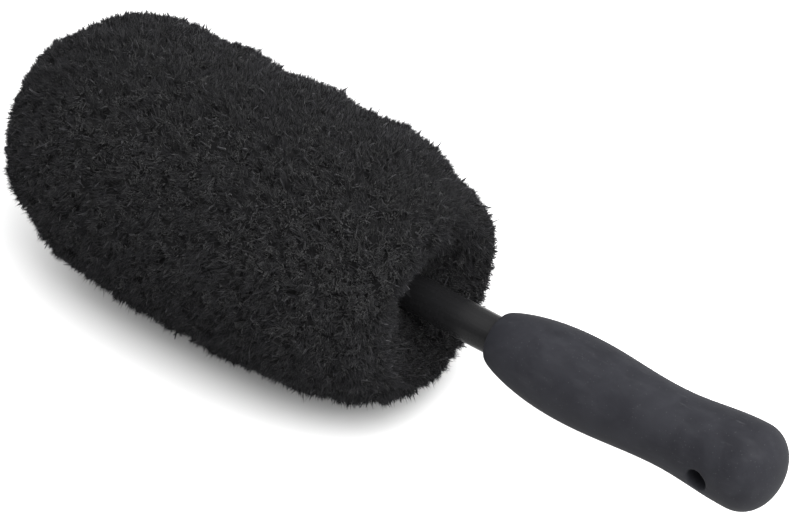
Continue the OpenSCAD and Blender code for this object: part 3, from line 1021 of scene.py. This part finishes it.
def overlock(name, centres, sideways, up, closed, width=3.0 * MM, height=1.2 * MM):
    """An overlocked seam along a row of centres: a low ridge wrapped in slanting threads."""
    sections = 11
    v = np.linspace(0, np.pi, sections)
    step = np.linalg.norm(np.diff(centres, axis=0), axis=1)
    along = np.concatenate([[0], np.cumsum(step)])
    turns = round(along[-1] / STITCH) if closed else along[-1] / STITCH
    phase = 2 * np.pi * turns * np.arange(len(centres)) / (len(centres) if closed else len(centres) - 1)
    ridge = 0.72 + 0.28 * np.abs(np.sin(phase[:, None] / 2 + 0.9 * np.cos(v)[None]))
    rise = height * np.sin(v)[None] ** 0.75 * ridge
    aside = width / 2 * np.cos(v)[None] * (0.94 + 0.06 * np.cos(phase)[:, None])
    points = centres[:, None] + aside[..., None] * sideways[:, None] + rise[..., None] * up[:, None]
    points += up[:, None] * 0.02 * MM
    obj = mesh_from_arrays(name, points.reshape(-1, 3), grid_faces(len(centres), sections, closed))
    return close_up(obj)


def ring_seam(name, x, radius, up_is_out):
    """A seam all round at x, which stands up outwards or along the brush."""
    count = 2 * round(2 * math.pi * radius / (0.75 * MM))
    angle = full_turn(count)
    out = np.stack([0 * angle, np.cos(angle), np.sin(angle)], axis=1)
    along = np.tile([1.0, 0, 0], (count, 1))
    centres = out * radius + (x, 0, axis_z)
    sideways, up = (along, out) if up_is_out else (out, along)
    return overlock(name, centres, sideways, up, True)


def side_seam_line():
    """The sleeve's lengthwise seam, underneath."""
    x = np.arange(dome_x + 3.2 * MM, panel_x - 0.2 * MM, 0.4 * MM)
    centres = np.stack([x, 0 * x, axis_z - backing_r + 0 * x], axis=1)
    return overlock("seam_side", centres, np.tile([0, 1.0, 0], (len(x), 1)),
                    np.tile([0, 0, -1.0], (len(x), 1)), False)


def ring_of(middle, half, squareness, steps):
    """A rounded section about a middle (x, radius)."""
    t = full_turn(steps)
    c, s = np.cos(t), np.sin(t)
    return [(middle[0] + half[0] * np.sign(a) * abs(a) ** squareness,
             middle[1] + half[1] * np.sign(b) * abs(b) ** squareness) for a, b in zip(c, s)]


elastic_half = (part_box("neck_elastic")[1].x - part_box("neck_elastic")[0].x) / 2
elastic_mid = ((hem_start + hem_end) / 2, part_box("neck_elastic")[1].y - elastic_half)


def make_hem():
    """The folded hem: a gathered tube of the backing, with the elastic's channel in it."""
    def gather(points, angle):
        reach = np.hypot(points[:, 1], points[:, 2])
        grow = 1 + 0.13 * MM * np.cos(HEM_FOLDS * angle + 0.6 * np.sin(5 * angle)) / reach
        points[:, 1:] *= np.where(np.abs(reach - elastic_mid[1]) > elastic_half * 1.15, grow, 1)[:, None]
        return points

    half = ((hem_end - hem_start) / 2, hem_r - elastic_mid[1] - 0.13 * MM)
    hem = revolved("hem", ring_of(elastic_mid, half, 0.6, 22), 264, gather)
    channel = revolved("channel_tool", ring_of(elastic_mid, (elastic_half + 0.03 * MM,) * 2, 1, 18), 132)
    cut(hem, channel)
    return hem


def make_elastic():
    """The elastic cord in its hem, with the dents of its braid."""
    def braid(points, angle):
        reach = np.hypot(points[:, 1], points[:, 2])
        about = np.arctan2(reach - elastic_mid[1], points[:, 0] - elastic_mid[0])
        one_way, other_way = BRAID_TURNS * angle + 2 * about, BRAID_TURNS * angle - 2 * about
        dent = 0.05 * MM * np.abs(np.sin(one_way) * np.sin(other_way))
        points[:, 0] -= dent * np.cos(about)
        points[:, 1:] *= (1 - dent * np.sin(about) / reach)[:, None]
        return points

    return revolved("elastic", ring_of(elastic_mid, (elastic_half,) * 2, 1, 14), 400, braid)


seam_tip = keep(ring_seam("seam_tip", dome_x + 1.5 * MM, backing_r, True), "cover", "seam", thread, "tip_seam")
seam_side = keep(side_seam_line(), "cover", "seam", thread, "side_seam")
seam_neck = keep(ring_seam("seam_neck", panel_x, backing_r - 1.5 * MM, False),
                 "cover", "seam", thread, "neck_seam")
hem = keep(knit_ways(make_hem()), "cover", "seam", knit, "neck_hem")
elastic_cord = keep(make_elastic(), "cover", "elastic", elastic, "neck_elastic")
backing_tip = keep(knit_ways(make_backing_tip()), "cover", "backing", knit, "tip_backing")
backing_sleeve = keep(knit_ways(make_backing_sleeve()), "cover", "backing", knit, "cover_backing")
backing_neck = keep(knit_ways(make_backing_neck()), "cover", "backing", knit, "neck_backing")

# ---- stage: floor, light and camera ----


def make_stage():
    """A pale floor under an even sky that brightens upwards, and two large soft lamps."""
    floor = mesh_from_arrays("floor", np.array([(-3, -3, 0), (3, -3, 0), (3, 3, 0), (-3, 3, 0)], float),
                             np.array([[0, 1, 2, 3]]))
    floor.data.materials.append(pale_floor())
    world = bpy.data.worlds.new("studio")
    bpy.context.scene.world = world
    world.use_nodes = True
    tree = world.node_tree
    height = tree.nodes.new("ShaderNodeSeparateXYZ")
    tree.links.new(tree.nodes.new("ShaderNodeTexCoord").outputs["Generated"], height.inputs["Vector"])
    sky = tree.nodes.new("ShaderNodeValToRGB")
    for element, place, level in zip(sky.color_ramp.elements, (0.0, 0.9), (0.66, 2.15)):
        element.position, element.color = place, (level, level, level, 1)
    tree.links.new(height.outputs["Z"], sky.inputs["Fac"])
    tree.links.new(sky.outputs["Color"], tree.nodes["Background"].inputs["Color"])
    for name, place, size, power in (
        ("key", (1.0, 0.1, 1.45), 2.0, 84),
        ("fill", (-0.6, -0.3, 1.7), 1.8, 12),
    ):
        lamp = bpy.data.objects.new(name, bpy.data.lights.new(name, "AREA"))
        lamp.data.size = size
        lamp.data.energy = power
        lamp.location = place
        lamp.rotation_euler = (Vector((0, 0, 0.05)) - lamp.location).to_track_quat("-Z", "Y").to_euler()
        bpy.context.scene.collection.objects.link(lamp)


def make_camera():
    """The camera at the photograph's angle."""
    azimuth, elevation = math.radians(38.51), math.radians(41.02)
    target = Vector((4.98, 0, 60.77)) * MM
    distance = 1.4378
    back = Vector((math.sin(azimuth) * math.cos(elevation),
                   -math.cos(azimuth) * math.cos(elevation), math.sin(elevation)))
    camera = bpy.data.objects.new("camera", bpy.data.cameras.new("camera"))
    camera.data.sensor_width = 36
    camera.data.lens = 182.5
    camera.location = target + back * distance
    camera.rotation_euler = (-back).to_track_quat("-Z", "Y").to_euler()
    bpy.context.scene.collection.objects.link(camera)
    bpy.context.scene.camera = camera


make_stage()
make_camera()
bpy.context.scene.view_settings.view_transform = "Standard"
